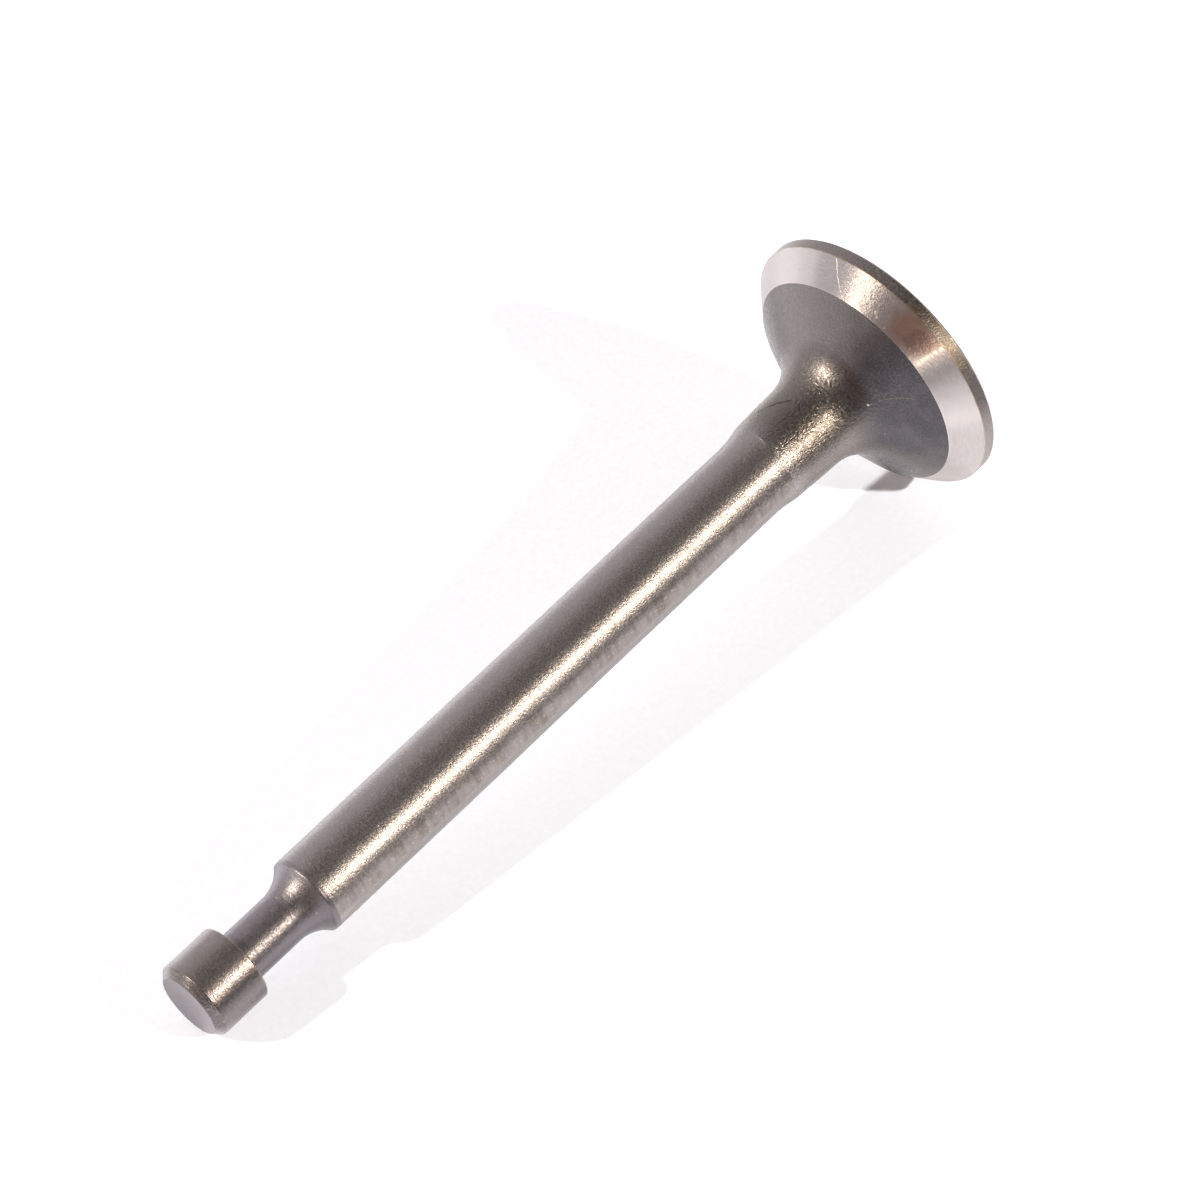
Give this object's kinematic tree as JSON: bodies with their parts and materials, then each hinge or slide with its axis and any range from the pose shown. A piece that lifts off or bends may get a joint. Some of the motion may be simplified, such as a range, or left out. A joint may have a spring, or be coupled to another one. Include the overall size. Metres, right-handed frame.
{
  "type": "engine valve",
  "caption": "Poppet valve for a small engine: flat round head with a ground conical seat, forged neck, ground stem and a waisted keeper groove below the tip.",
  "frame": {"origin": "centre of the flat head face", "axes": "+Z along the stem, from the head face to the tip; round about Z, so X and Y are free"},
  "size_m": [0.025, 0.025, 0.0825],
  "materials": {
    "valve_steel": "ground bright on the stem and seat, dull forged skin on the neck and margin"
  },
  "bodies": {
    "root": {"valve": "valve_steel"}
  },
  "joints": []
}
